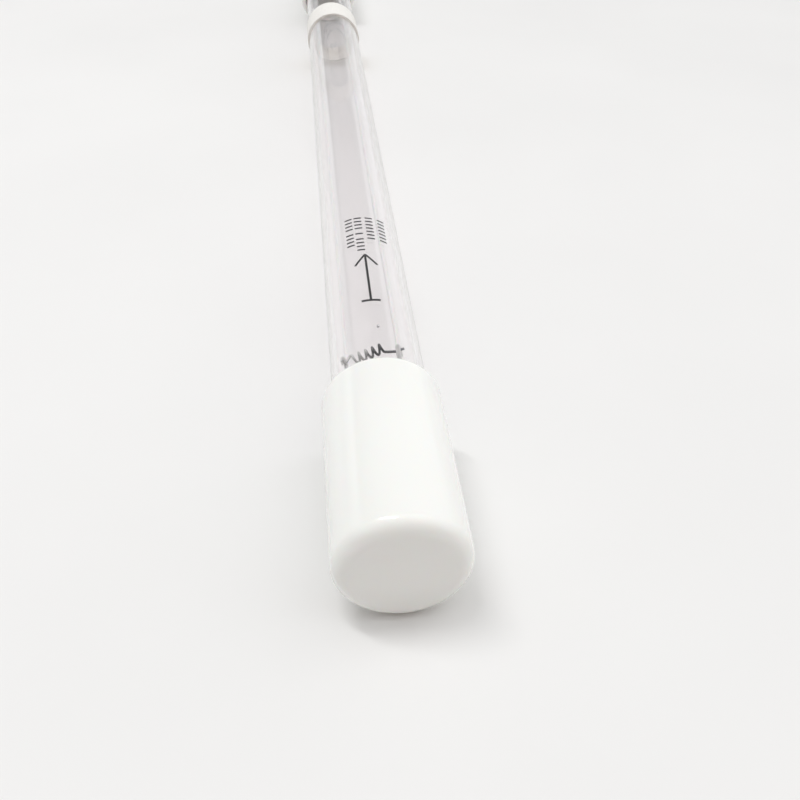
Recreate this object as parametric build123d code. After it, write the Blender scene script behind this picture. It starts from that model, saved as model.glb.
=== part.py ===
from build123d import *
from math import cos, pi, radians, sin
import os

# Single-ended ultraviolet lamp of a pond clarifier, in millimetres.
# It lies along Y on its two ceramic ends: the plain cap at -Y, the four contact pins at +Y, +Z up.
# Pieces are drawn with the lamp's axis on the Y axis, and y counted from the face of the plain cap.
# What both ends share is drawn at the plain cap and mirrored to the pin base by far().

# Quartz envelope
tube_od = 15.0
tube_wall = 1.1
lamp_length = 287.0  # face to face of the ceramic ends, without the pins
pinch_length = 12.0  # flat pressed seal at each end
pinch_thickness = 3.2
pinch_inset = 11.5  # face of a ceramic end to the end of its seal
shoulder_length = 8.0  # from the flat seal to the round tube
slit_height = 1.6  # of the hollow where it runs out in the seal
pocket_width = 11.6  # thinned window over the foils, on both faces of a seal
pocket_length = 8.6
pocket_depth = 0.3
pocket_corner = 1.2
tip_diameter = 2.6  # sealed stub of the tube that the lamp was pumped through
tip_length = 3.0
tip_sides = 10
flare_rise = 0.3  # how far the shoulder's curves run past the round tube

# Ceramic ends
cement_gap = 0.4  # between the tube and the bore of a ceramic end
shell_wall = 1.3
shell_length = 33.3
cap_floor = 3.0
base_floor = 4.0
cap_round = 2.4  # round the edge of the plain face
base_round = 1.6
mouth_bevel = 0.8
cement_margin = 0.5  # between the cement and the root of the seal
cement_length = 9.5
shell_round_sides = 2  # short cones that stand for a rounded edge of the ceramic

# Contact pins
pin_diameter = 2.4
pin_length = 7.5
pin_tip_narrowing = 0.5  # of the radius, over the taper at the tip
pin_tip_taper = 0.8
pin_spacing_x = 10.0
pin_spacing_z = 6.4
pin_collar_diameter = 3.6
pin_collar_height = 0.8
pin_shank_diameter = 2.6  # in the ceramic, flush with its face
pin_bore_depth = 4.0  # from the top of the collar
pin_bore_sides = 12
pin_fit = 0.02  # clearance of the shank in the ceramic
solder_gap = 0.05  # around a wire in its pin

# Electrode mounts
mount_turn = 22.0  # degrees that the seals are turned about the lamp's axis
left_lead_gap = 0.95  # bore of the tube to a lead's axis
right_lead_gap = 2.45
lead_diameter = 0.8
lead_in_seal = 3.5  # how far posts and outer leads reach into a seal
cap_lead_out = 2.5  # how far the outer leads stand out of the seal in the plain cap
coil_reach = 22.5  # from the root of the seal to the coil's axis
coil_turns = 4
coil_chords = 8  # straight stretches that stand for a turn
coil_radius = 0.76
coil_wire_diameter = 0.44
coil_to_left_hook = 1.67
coil_to_right_hook = 2.81
coil_lead_in = 0.3  # level run of the left leg before the first turn
coil_slack = 0.65  # how far the last turn is drawn out along the coil's axis
left_hook_step = 0.7  # from the coil's axis towards the seal
right_hook_step = 1.4
left_tail = 0.6  # of the coil's wire past its hook
right_tail = 0.9
hook_gap = 0.025  # around the coil's leg in its hook
hook_return = 0.6
hook_chords = 4  # straight stretches that stand for a hook's bend
foil_width = 2.0
foil_length = 7.0
foil_thickness = 0.05
weld_flat = 0.25  # lead axis down to the flat that is welded on the foil

wire_sides = 6  # drawn wires and their sleeves are regular prisms, as what is too small for rounds

# Return leads under the tube
wire_diameter = 0.5
sleeve_diameter = 1.1
sleeve_fit = 0.03  # between the wire's corners and the flats of its sleeve's bore
sleeve_angle = 45.0  # either side of straight down
sleeve_lift = 0.02  # off the tube
groove_gap = 0.1  # around the wire in the ceramic
groove_run = 1.2  # groove past the last straight stretch of the wire
wire_bend = 0.6  # length that a bend takes from each side of its corner
cap_wire_y = 5.0  # where the wire crosses to its groove in the plain cap
base_wire_out_depth = 13.0  # from the face of the pin base: the wire leaves its groove
base_wire_line_depth = 9.3  # the wire is in line with its pin
base_lead_out_depth = 10.6  # the outer lead leaves the line of the seal
base_lead_line_depth = 8.4  # the outer lead is in line with its pin
lead_bend = 0.5
ferrule_diameter = 1.6
ferrule_grip = 1.5  # on the lead and on the wire
band_to_base = 33.9  # from the band to the mouth of the pin base
band_width = 12.0
band_wall = 0.4

# Mercury
drop_diameter = 0.6
drop_sides = 8
drop_past_coil = 15.2
drop_angle = 17.5  # from straight down, to the right

tube_r = tube_od / 2
bore_r = tube_r - tube_wall
shell_bore_r = tube_r + cement_gap
shell_r = shell_bore_r + shell_wall
seal_y = pinch_inset + pinch_length
round_y = seal_y + shoulder_length
coil_y = seal_y + coil_reach
lead_r = lead_diameter / 2
pin_r = pin_diameter / 2
pin_shank_r = pin_shank_diameter / 2
wire_r = wire_diameter / 2
sleeve_r = sleeve_diameter / 2
lead_x = {"left": left_lead_gap - bore_r, "right": bore_r - right_lead_gap}
side = {"left": -1, "right": 1}
hook_r = coil_wire_diameter / 2 + hook_gap + lead_r
coil_pitch = (lead_x["right"] - lead_x["left"] - coil_to_left_hook - coil_to_right_hook) / coil_turns
coil_start_x = lead_x["left"] + coil_to_left_hook
coil_z = hook_r - coil_radius  # so that the left leg leaves the top of the coil level
hook_y = {"left": coil_y - left_hook_step, "right": coil_y - right_hook_step}
tail = {"left": left_tail, "right": right_tail}
foil_z = -weld_flat - foil_thickness / 2
foil_y = pinch_inset + pinch_length / 2
wire_run_r = tube_r + sleeve_lift + sleeve_r
groove_r = wire_run_r + wire_r + groove_gap
placed = Pos(0, -(lamp_length + pin_length) / 2, shell_r)


def rod(radius, start, end, x=0.0, z=0.0):
    """A round bar along Y from start to end."""
    bar = Cylinder(radius, end - start, align=(Align.CENTER, Align.CENTER, Align.MIN))
    return Pos(x, start, z) * Rot(X=-90) * bar


def turned(points):
    """A solid turned about the lamp's axis from its (radius, y) outline."""
    return revolve(make_face(Polyline(*points, close=True)), axis=Axis.Y)


def quarter(x, y, radius, start, sides):
    """Outline points of a rounded corner about (x, y), through 90 degrees from start."""
    turns = [radians(start + 90 * step / sides) for step in range(sides + 1)]
    return [(x + radius * cos(turn), y + radius * sin(turn)) for turn in turns]


def prism(radius, start, end, x=0.0, z=0.0, sides=wire_sides):
    """A straight wire or sleeve along Y from start to end."""
    outline = Plane.XZ.offset(-start) * Pos(x, z) * RegularPolygon(radius, sides)
    return extrude(outline, start - end)


def far(piece):
    """The same piece at the other end of the lamp."""
    return Pos(0, lamp_length, 0) * mirror(piece, about=Plane.XZ)


def rolled(piece):
    """A piece of an electrode mount, turned with its seal about the lamp's axis."""
    return Rot(Y=-mount_turn) * piece


def rolled_point(x, y, z=0.0):
    """Where a point of an electrode mount lies once its seal is turned."""
    turn = radians(mount_turn)
    return Vector(x * cos(turn) - z * sin(turn), y, x * sin(turn) + z * cos(turn))


def groove_point(which, y):
    """A point on the straight run of a return wire under the tube."""
    turn = radians(sleeve_angle)
    return Vector(side[which] * wire_run_r * sin(turn), y, -wire_run_r * cos(turn))


def drawn(path, radius):
    """A wire drawn along a path."""
    outline = Plane(origin=path @ 0, z_dir=path % 0) * RegularPolygon(radius, wire_sides)
    return sweep(outline, path=path, transition=Transition.RIGHT)


def bent(corners, setback):
    """A wire's path through corners, each bent in one chord from setback before to setback past it."""
    points = [corners[0]]
    for before, corner, after in zip(corners, corners[1:], corners[2:]):
        points += [corner + (other - corner).normalized() * setback for other in (before, after)]
    return Polyline(*points, corners[-1])


def bevelled_end(piece, end, bevel):
    """A bar along Y with the rim of one end bevelled, 0 for its start and -1 for its end."""
    return chamfer(piece.faces().sort_by(Axis.Y)[end].edges(), bevel)


def from_base(depth):
    """The y of a depth below the face of the pin base."""
    return lamp_length - depth


def flare(flat_half, round_half, start):
    """A bar between both ends, seen from the side: flat at its ends and swelling to the round tube.

    Its top and bottom follow S curves along the two shoulders.
    """
    middle = (seal_y + round_y) / 2
    rise = Bezier((seal_y, flat_half), (middle, flat_half), (middle, round_half), (round_y, round_half))
    fall = Pos(lamp_length, 0) * mirror(rise, about=Plane.YZ)
    top = Curve() + [
        rise,
        fall,
        Line((round_y, round_half), (from_base(round_y), round_half)),
    ]
    if start < seal_y:
        top += Line((start, flat_half), (seal_y, flat_half))
        top += Line((from_base(seal_y), flat_half), (from_base(start), flat_half))
    bottom = mirror(top, about=Plane.XZ)
    ends = [Line((y, flat_half), (y, -flat_half)) for y in (start, from_base(start))]
    side_view = make_face(top + bottom + ends)
    return extrude(Plane.YZ.offset(-tube_od) * side_view, 2 * tube_od)


# The mounts' wires in the seals, drawn at the plain cap before the seals are turned


def weld_notch(which, start, end):
    """What a lead loses where it lies on the foil, so that a flat meets the foil."""
    below = Box(lead_diameter * 2, end - start, lead_r, align=(Align.CENTER, Align.MIN, Align.MAX))
    return Pos(lead_x[which], start, -weld_flat) * below


def post(which):
    """A support post from the seal to the coil, bent over into a hook round the coil's leg."""
    x, tip, bottom = lead_x[which], hook_y[which], seal_y - lead_in_seal
    up = -side[which]  # the left hook closes upwards and the right one downwards
    corner_r = hook_r / cos(pi / (2 * hook_chords))
    bend = []
    for chord in range(hook_chords):
        turn = pi * (chord + 0.5) / hook_chords
        bend.append((x, tip + corner_r * sin(turn), up * (hook_r - corner_r * cos(turn))))
    path = Polyline((x, bottom, 0), *bend, (x, tip - hook_return, up * 2 * hook_r))
    return drawn(path, lead_r) - weld_notch(which, bottom, foil_y + foil_length / 2)


def foil(which):
    """The thin molybdenum foil that carries the current through the seal."""
    return Pos(lead_x[which], foil_y, foil_z) * Box(foil_width, foil_length, foil_thickness)


def cap_lead(which):
    """The outer lead of the electrode at the plain cap, from its foil out of the seal."""
    end = pinch_inset + lead_in_seal
    bar = prism(lead_r, pinch_inset - cap_lead_out, end, lead_x[which])
    return bar - weld_notch(which, foil_y - foil_length / 2, end)


def leg(which):
    """The coil's leg through its hook: where it comes in from the coil, and the end of its tail."""
    x, y, z = lead_x[which], hook_y[which], -side[which] * hook_r
    inner, outer = x - side[which] * (lead_r + hook_gap), x + side[which] * tail[which]
    return [(inner, y, z), (outer, y, z)]


def filament():
    """The tungsten coil with its two legs through the hooks, slack on the right."""
    steps = coil_turns * coil_chords + coil_chords // 4
    turns = []
    for step in range(steps + 1):
        turn = 2 * pi * step / coil_chords
        x = coil_start_x + coil_pitch * step / coil_chords
        turns.append((x, coil_y - coil_radius * sin(turn), coil_z + coil_radius * cos(turn)))
    lead_in = (coil_start_x - coil_lead_in, coil_y, hook_r)
    slack = (x + coil_slack, coil_y - coil_radius, -hook_r)
    path = Polyline(*reversed(leg("left")), lead_in, *turns, slack, *leg("right"))
    return drawn(path, coil_wire_diameter / 2)


def seal_pocket(face):
    """The window pressed into one face of a seal, +1 above and -1 below."""
    window = extrude(RectangleRounded(pocket_width, pocket_length, pocket_corner), pocket_depth * 2)
    return Pos(0, foil_y, face * pinch_thickness / 2 - pocket_depth * (1 + face)
               + face * pocket_depth) * window


def envelope_outside():
    """The whole outside of the quartz envelope, solid through."""
    body = rod(tube_r, pinch_inset, from_base(pinch_inset)) & flare(
        pinch_thickness / 2, tube_r + flare_rise, pinch_inset
    )
    for face in (1, -1):
        body -= seal_pocket(face)
        body -= far(seal_pocket(face))
    tip = prism(tip_diameter / 2, pinch_inset - tip_length, pinch_inset, sides=tip_sides)
    return body + bevelled_end(tip, 0, tip_diameter / 4)


def quartz_tube(sealed):
    """The envelope: hollow between the seals, with the mounts' wires and foils sealed in."""
    hollow = rod(bore_r, seal_y, from_base(seal_y)) & flare(slit_height / 2, bore_r + flare_rise, seal_y)
    return rolled(envelope_outside() - hollow) - sealed


def shell(floor, face_round):
    """A ceramic end with its bore, rounded face and bevelled mouth, closed by a floor."""
    return turned([
        (0, 0),
        *quarter(shell_r - face_round, face_round, face_round, -90, shell_round_sides),
        (shell_r, shell_length - mouth_bevel),
        (shell_r - mouth_bevel, shell_length),
        (shell_bore_r, shell_length),
        (shell_bore_r, floor),
        (0, floor),
    ])


def wire_groove(which, start, end):
    """The slot for a return wire in the bore of a ceramic end."""
    depth = groove_r - shell_bore_r + cement_gap
    slot = Box(wire_diameter + 2 * groove_gap, end - start, depth,
               align=(Align.CENTER, Align.MIN, Align.MIN))
    return Rot(Y=-side[which] * sleeve_angle) * Pos(0, start, -groove_r) * slot


def return_wire(which):
    """The lead that brings the far electrode's current back under the tube to its pin."""
    pin_x, pin_z = side[which] * pin_spacing_x / 2, -pin_spacing_z / 2
    path = bent([
        rolled_point(lead_x[which], pinch_inset - cap_lead_out),
        rolled_point(lead_x[which], cap_wire_y),
        groove_point(which, cap_wire_y),
        groove_point(which, from_base(base_wire_out_depth)),
        Vector(pin_x, from_base(base_wire_line_depth), pin_z),
        Vector(pin_x, from_base(base_floor), pin_z),
    ], wire_bend)
    return drawn(path, wire_r)


def base_lead(which):
    """The outer lead of the electrode at the pins, from its foil to its pin."""
    pin_x, pin_z = side[which] * pin_spacing_x / 2, pin_spacing_z / 2
    sealed_end = pinch_inset + lead_in_seal
    path = bent([
        rolled_point(lead_x[which], from_base(sealed_end)),
        rolled_point(lead_x[which], from_base(base_lead_out_depth)),
        Vector(pin_x, from_base(base_lead_line_depth), pin_z),
        Vector(pin_x, from_base(base_floor), pin_z),
    ], lead_bend)
    notch = weld_notch(which, foil_y - foil_length / 2, sealed_end)
    return drawn(path, lead_r) - rolled(far(notch))


def ferrule(which, held):
    """The crimped sleeve that joins an outer lead to its return wire in the plain cap."""
    joint = pinch_inset - cap_lead_out
    body = prism(ferrule_diameter / 2, joint - ferrule_grip, joint + ferrule_grip, lead_x[which])
    return rolled(body) - held


def wire_sleeve(which):
    """The white insulating sleeve of a return wire, from one ceramic mouth to the other."""
    start, end = shell_length, from_base(shell_length)
    place = groove_point(which, 0)
    bore = (wire_r + sleeve_fit) / cos(pi / wire_sides)
    return prism(sleeve_r, start, end, place.X, place.Z) - prism(bore, start, end, place.X, place.Z)


def band_outline(extra):
    """The taut outline round the tube and both sleeves, grown by extra."""
    rounds = [Circle(tube_r + extra)]
    for which in side:
        place = groove_point(which, 0)
        rounds.append(Pos(place.X, place.Z) * Circle(sleeve_r + extra))
    return make_hull([edge for circle in rounds for edge in circle.edges()])


def wire_band():
    """The pale band that binds the return leads to the tube."""
    ring = band_outline(band_wall) - band_outline(0)
    start = from_base(shell_length + band_to_base + band_width)
    return extrude(Plane.XZ.offset(-start) * ring, -band_width)


def cement(fill, wires):
    """The basing cement of one end: what its bore holds beside the envelope and the return wires."""
    return fill - rolled(envelope_outside()) - wires


def cement_fill():
    """The filled stretch of a bore with its two grooves, drawn at the plain cap."""
    end = seal_y - cement_margin
    fill = rod(shell_bore_r, end - cement_length, end)
    for which in side:
        fill += wire_groove(which, end - cement_length, end)
    return fill


def contact_pin(wire_radius):
    """A hollow contact pin with the collar that seats in the base, at the plain cap's place."""
    collar_top = base_floor + pin_collar_height
    blank = turned([
        (0, -pin_length),
        (pin_r - pin_tip_narrowing, -pin_length),
        (pin_r, pin_tip_taper - pin_length),
        (pin_r, 0),
        (pin_shank_r, 0),
        (pin_shank_r, base_floor),
        (pin_collar_diameter / 2, base_floor),
        (pin_collar_diameter / 2, collar_top),
        (0, collar_top),
    ])
    return blank - prism(wire_radius + solder_gap, collar_top - pin_bore_depth, collar_top,
                         sides=pin_bore_sides)


def mercury_drop():
    """The bead of mercury, resting on the inside of the tube."""
    radius = drop_diameter / 2
    bead = prism(radius, -radius, radius, sides=drop_sides)
    for end in (0, -1):
        bead = bevelled_end(bead, end, radius / 2)
    return Rot(Y=-drop_angle) * Pos(0, coil_y + drop_past_coil, radius - bore_r) * bead


wires = {which: return_wire(which) for which in side}
sealed = {}
for which in side:
    sealed[f"cap_outer_lead_{which}"] = rolled(cap_lead(which))
    sealed[f"base_outer_lead_{which}"] = base_lead(which)
    sealed[f"cap_foil_{which}"] = rolled(foil(which))
    sealed[f"base_foil_{which}"] = rolled(far(foil(which)))
    sealed[f"cap_post_{which}"] = rolled(post(which))
    sealed[f"base_post_{which}"] = rolled(far(post(which)))

parts = {**sealed, "quartz_tube": quartz_tube(list(sealed.values()))}
parts["cap_filament"] = rolled(filament())
parts["base_filament"] = rolled(far(filament()))
parts["mercury_drop"] = mercury_drop()
parts["wire_band"] = wire_band()

cap, base = shell(cap_floor, cap_round), far(shell(base_floor, base_round))
for which in side:
    past_mouth = shell_length + mouth_bevel
    cap -= wire_groove(which, cap_wire_y - wire_r - groove_gap, past_mouth)
    base -= far(wire_groove(which, base_wire_out_depth - groove_run, past_mouth))
    parts[f"return_wire_{which}"] = wires[which]
    parts[f"wire_sleeve_{which}"] = wire_sleeve(which)
    parts[f"lead_ferrule_{which}"] = ferrule(which, [sealed[f"cap_outer_lead_{which}"], wires[which]])
    for level, height, radius in (("upper", 1, lead_r), ("lower", -1, wire_r)):
        x, z = side[which] * pin_spacing_x / 2, height * pin_spacing_z / 2
        base -= far(rod(pin_shank_r + pin_fit, 0, base_floor, x, z))
        parts[f"contact_pin_{level}_{which}"] = Pos(x, 0, z) * far(contact_pin(radius))
parts["plain_cap"] = cap
parts["pin_base"] = base

both_wires = list(wires.values())
parts["cap_cement"] = cement(cement_fill(), both_wires)
parts["base_cement"] = cement(far(cement_fill()), both_wires)

os.makedirs("parts", exist_ok=True)
for name, piece in parts.items():
    export_step(placed * piece, f"parts/{name}.step")
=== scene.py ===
"""Looks of a single-ended ultraviolet lamp for a pond clarifier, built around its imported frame.

The lamp lies along Y on its two ceramic ends: the plain cap at -Y, the contact pins at +Y, +Z up.
Every length is in metres; MM turns millimetres into metres.
"""
import logging
import math
from dataclasses import dataclass, field
from enum import Enum
from typing import Callable, Iterable, Sequence

import bmesh
import bpy
from mathutils import Matrix, Vector


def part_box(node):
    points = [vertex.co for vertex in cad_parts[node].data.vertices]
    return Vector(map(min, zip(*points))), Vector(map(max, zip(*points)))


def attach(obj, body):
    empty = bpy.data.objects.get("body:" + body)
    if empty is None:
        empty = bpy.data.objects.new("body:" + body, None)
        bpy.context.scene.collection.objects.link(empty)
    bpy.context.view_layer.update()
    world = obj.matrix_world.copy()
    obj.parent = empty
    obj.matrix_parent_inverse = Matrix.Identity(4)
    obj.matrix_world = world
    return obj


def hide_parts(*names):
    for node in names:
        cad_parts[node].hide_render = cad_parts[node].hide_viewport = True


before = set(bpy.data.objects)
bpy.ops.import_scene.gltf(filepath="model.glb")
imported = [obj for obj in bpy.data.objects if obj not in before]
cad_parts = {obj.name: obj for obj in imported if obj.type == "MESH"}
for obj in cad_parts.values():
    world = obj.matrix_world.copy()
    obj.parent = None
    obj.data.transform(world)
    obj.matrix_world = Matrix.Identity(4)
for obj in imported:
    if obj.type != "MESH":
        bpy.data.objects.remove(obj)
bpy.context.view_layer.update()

LOG = logging.getLogger("clarifier_lamp")
MM = 0.001
NEAR = 0.004 * MM  # how closely a corner or an edge is told by its place
RIM_SLACK = 0.02 * MM  # how far the edges of a faceted rim may lie from its radius
DOUBLES = 0.0005 * MM  # corners closer than this are one
OVERRUN = 1 * MM  # how far a cutter or a joined piece runs on past its face
BEND_STEP = 12.0  # degrees of a wire's bend that one facet spans
FACING = 0.9  # a face looks along an axis when this much of its normal does
DEAD_ON = 0.999  # the same, with no room for the first face of a rounding
HOOK_END = 0.99  # the same, for a hook's end; two small facets inside the bend pass too
ACROSS = 0.01  # an edge lies across an axis when less of its direction follows it
TIP_REACH = 1.03  # the ring round a wire's tip lies within this many of the wire's radii

Point = tuple[float, float, float]
Colour = tuple[float, float, float, float]
Test = Callable[[Vector, Vector], bool]


class Slot(Enum):
    """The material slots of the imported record."""

    QUARTZ = "quartz"
    CERAMIC = "glazed_ceramic"
    CEMENT = "basing_cement"
    STEEL = "nickel_iron"
    TUNGSTEN = "tungsten"
    MOLYBDENUM = "molybdenum"
    NICKEL = "nickel_plate"
    SLEEVING = "sleeving"
    BAND = "band"
    MERCURY = "mercury"


class Element(Enum):
    """What a selection in edit mode is made of."""

    VERTS = "VERT"
    EDGES = "EDGE"
    FACES = "FACE"


class Side(Enum):
    """The two leads of an electrode mount, as signs along the seal's width."""

    LEFT = -1
    RIGHT = 1


class End(Enum):
    """The two ends of the lamp."""

    CAP = "cap"
    BASE = "base"


# ---------------------------------------------------------------- finishes


class Recipe:
    """A material's node tree while it is being mixed."""

    def __init__(self, name: str) -> None:
        """Start from a new material with its own shader.

        Args:
            name: The material's name.
        """
        self.material = bpy.data.materials.new(name)
        self.material.use_nodes = True
        self.tree = self.material.node_tree
        self.shader = self.tree.nodes["Principled BSDF"]
        self.output = self.tree.nodes["Material Output"]

    def constants(self, values: dict[str, float | Colour]) -> None:
        """Set values on the shader's own sockets.

        Args:
            values: Socket name to value.
        """
        for name, value in values.items():
            self.shader.inputs[name].default_value = value

    def node(self, kind: str, inputs: dict[str, object] | None = None, **settings: object) -> bpy.types.Node:
        """Add a node.

        Args:
            kind: The node's type, without its ShaderNode prefix.
            inputs: Input name to a socket to link from, or a plain value.
            settings: Attributes of the node itself.

        Returns:
            The new node.
        """
        made = self.tree.nodes.new("ShaderNode" + kind)
        for name, value in settings.items():
            setattr(made, name, value)
        for name, value in (inputs or {}).items():
            if isinstance(value, bpy.types.NodeSocket):
                self.tree.links.new(value, made.inputs[name])
            else:
                made.inputs[name].default_value = value
        return made

    def grain(self, scale: float, stretch: Point = (1, 1, 1), detail: float = 3.0) -> bpy.types.NodeSocket:
        """Give a noise pattern on the piece's own coordinates.

        Args:
            scale: Cells of the pattern per metre.
            stretch: How much finer the pattern is along each axis.
            detail: Octaves of the noise.

        Returns:
            The pattern's factor, from 0 to 1.
        """
        place = self.node("TexCoord")
        mapped = self.node("Mapping", {"Vector": place.outputs["Object"], "Scale": stretch})
        noise = self.node("TexNoise", {"Vector": mapped.outputs["Vector"], "Scale": scale, "Detail": detail})
        return noise.outputs["Fac"]

    def ramp(self, factor: bpy.types.NodeSocket, low: float, high: float,
             dark: Colour, light: Colour) -> bpy.types.NodeSocket:
        """Turn a pattern into colours.

        Args:
            factor: The pattern.
            low: Where the dark colour ends.
            high: Where the light colour starts.
            dark: The colour at low.
            light: The colour at high.

        Returns:
            The colour output.
        """
        made = self.node("ValToRGB", {"Fac": factor})
        stops = made.color_ramp.elements
        stops[0].position, stops[0].color = low, dark
        stops[1].position, stops[1].color = high, light
        return made.outputs["Color"]

    def spread(self, factor: bpy.types.NodeSocket, low: float, high: float) -> bpy.types.NodeSocket:
        """Map a pattern to a range of values.

        Args:
            factor: The pattern, mostly between 0.3 and 0.7.
            low: The value at 0.3.
            high: The value at 0.7.

        Returns:
            The value output.
        """
        made = self.node("MapRange", {"Value": factor, "From Min": 0.3, "From Max": 0.7,
                                      "To Min": low, "To Max": high})
        return made.outputs["Result"]

    def colour(self, source: bpy.types.NodeSocket) -> None:
        """Link the shader's base colour."""
        self.tree.links.new(source, self.shader.inputs["Base Color"])

    def roughness(self, source: bpy.types.NodeSocket) -> None:
        """Link the shader's roughness."""
        self.tree.links.new(source, self.shader.inputs["Roughness"])

    def let_light_by(self, share: float, tint: Colour) -> None:
        """Let shadow rays and diffuse rays pass a thin piece, so that its shadow stays light.

        Args:
            share: How much of the light passes.
            tint: The colour that it takes on.
        """
        ray = self.node("LightPath")
        soft = self.node("Math", {0: ray.outputs["Is Shadow Ray"], 1: ray.outputs["Is Diffuse Ray"]},
                         operation="MAXIMUM")
        passing = self.node("Math", {0: soft.outputs["Value"], 1: share}, operation="MULTIPLY")
        clear = self.node("BsdfTransparent", {"Color": tint})
        mixed = self.node("MixShader", {0: passing.outputs["Value"], 1: self.shader.outputs["BSDF"],
                                        2: clear.outputs["BSDF"]})
        self.tree.links.new(mixed.outputs["Shader"], self.output.inputs["Surface"])

    def relief(self, height: bpy.types.NodeSocket, strength: float, distance: float) -> None:
        """Raise the surface with a bump.

        Args:
            height: The pattern that gives the height.
            strength: Share of the bump that shows.
            distance: Height of the pattern's full range.
        """
        bump = self.node("Bump", {"Height": height, "Strength": strength, "Distance": distance})
        self.tree.links.new(bump.outputs["Normal"], self.shader.inputs["Normal"])


@dataclass(frozen=True)
class Finish:
    """What every finish shares: a name, a slot of the record and a cached material."""

    name: str
    slot: Slot | None

    def material(self) -> bpy.types.Material:
        """Return the finish's material, mixed on first use."""
        known = bpy.data.materials.get(self.name)
        if known is not None:
            return known
        recipe = Recipe(self.name)
        self.mix(recipe)
        return recipe.material

    def mix(self, recipe: Recipe) -> None:
        """Lay out the finish's nodes.

        Args:
            recipe: The empty material.
        """
        raise NotImplementedError


@dataclass(frozen=True)
class QuartzGlass(Finish):
    """Clear quartz with a faint warm cast; its shadow is light, as thin clear tube's is."""

    name: str = "clear_quartz"
    slot: Slot = Slot.QUARTZ
    shadow_share: float = 0.97

    def mix(self, recipe: Recipe) -> None:
        """Lay out the glass.

        Args:
            recipe: The empty material.
        """
        recipe.constants({"Roughness": 0.0, "IOR": 1.458, "Transmission Weight": 1.0})
        cloud = recipe.grain(30, detail=1)
        recipe.colour(recipe.ramp(cloud, 0.3, 0.7, (0.993, 0.982, 0.986, 1), (0.995, 0.985, 0.988, 1)))
        recipe.let_light_by(self.shadow_share, (0.995, 0.988, 0.99, 1))


@dataclass(frozen=True)
class GlazedCeramic(Finish):
    """Glossy white steatite under a clear glaze, a little cream, with a soft ripple."""

    name: str = "glazed_steatite"
    slot: Slot = Slot.CERAMIC

    def mix(self, recipe: Recipe) -> None:
        """Lay out the ceramic.

        Args:
            recipe: The empty material.
        """
        recipe.constants({"IOR": 1.5, "Coat Weight": 0.6, "Coat Roughness": 0.05,
                          "Subsurface Weight": 0.1, "Subsurface Scale": 1.0 * MM})
        cloud = recipe.grain(90, detail=2)
        fine = recipe.grain(1800, detail=3)
        recipe.colour(recipe.ramp(cloud, 0.3, 0.7, (0.94, 0.948, 0.915, 1), (0.95, 0.956, 0.926, 1)))
        recipe.roughness(recipe.spread(fine, 0.14, 0.24))
        recipe.relief(recipe.grain(350, detail=2), 0.05, 0.05 * MM)


@dataclass(frozen=True)
class BasingCement(Finish):
    """Dry cement that holds the tube in a ceramic end."""

    name: str = "basing_cement_dry"
    slot: Slot = Slot.CEMENT

    def mix(self, recipe: Recipe) -> None:
        """Lay out the cement.

        Args:
            recipe: The empty material.
        """
        sand = recipe.grain(2600, detail=6)
        recipe.colour(recipe.ramp(sand, 0.35, 0.65, (0.62, 0.58, 0.5, 1), (0.84, 0.82, 0.75, 1)))
        recipe.roughness(recipe.spread(sand, 0.8, 0.98))
        recipe.relief(sand, 0.6, 0.1 * MM)


@dataclass(frozen=True)
class DrawnMetal(Finish):
    """A wire or sheet metal with fine lines along the way it was drawn or rolled."""

    name: str = "drawn_nickel_iron"
    slot: Slot = Slot.STEEL
    dark: Colour = (0.52, 0.51, 0.5, 1)
    light: Colour = (0.72, 0.71, 0.7, 1)
    smooth: float = 0.26
    rough: float = 0.42
    relief: float = 0.15

    def mix(self, recipe: Recipe) -> None:
        """Lay out the metal.

        Args:
            recipe: The empty material.
        """
        recipe.constants({"Metallic": 1.0})
        lines = recipe.grain(7000, (1, 0.06, 1), 4)
        patches = recipe.grain(500, detail=4)
        recipe.colour(recipe.ramp(patches, 0.3, 0.7, self.dark, self.light))
        recipe.roughness(recipe.spread(lines, self.smooth, self.rough))
        recipe.relief(lines, self.relief, 0.02 * MM)


@dataclass(frozen=True)
class CoatedTungsten(Finish):
    """Dark tungsten with the pale remains of its electron-giving coat, thickest at -X."""

    name: str = "coated_tungsten"
    slot: Slot = Slot.TUNGSTEN
    bare: Colour = (0.035, 0.035, 0.038, 1)
    coat: Colour = (0.5, 0.5, 0.49, 1)
    coat_full: float = -3.6 * MM
    coat_gone: float = 0.3 * MM
    coat_thickness: float = 0.85

    def mix(self, recipe: Recipe) -> None:
        """Lay out the coated wire.

        Args:
            recipe: The empty material.
        """
        recipe.constants({"Metallic": 0.3})
        place = recipe.node("TexCoord")
        across = recipe.node("SeparateXYZ", {"Vector": place.outputs["Object"]}).outputs["X"]
        fading = {"From Min": self.coat_full, "From Max": self.coat_gone,
                  "To Min": self.coat_thickness, "To Max": 0.0}
        coated = recipe.node("MapRange", {"Value": across, **fading}).outputs["Result"]
        grit = recipe.grain(4200, detail=4)
        left = recipe.node("Math", {0: grit, 1: coated}, operation="ADD").outputs["Value"]
        recipe.colour(recipe.ramp(left, 0.55, 1.2, self.bare, self.coat))
        recipe.roughness(recipe.spread(grit, 0.45, 0.7))
        recipe.relief(grit, 0.3, 0.02 * MM)


@dataclass(frozen=True)
class LiquidMetal(Finish):
    """The bead of mercury, mirror bright with a dull skin in places."""

    name: str = "liquid_mercury"
    slot: Slot = Slot.MERCURY

    def mix(self, recipe: Recipe) -> None:
        """Lay out the bead.

        Args:
            recipe: The empty material.
        """
        recipe.constants({"Metallic": 1.0})
        skin = recipe.grain(2500, detail=3)
        recipe.colour(recipe.ramp(skin, 0.4, 0.7, (0.5, 0.5, 0.52, 1), (0.75, 0.75, 0.77, 1)))
        recipe.roughness(recipe.spread(skin, 0.03, 0.2))


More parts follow.
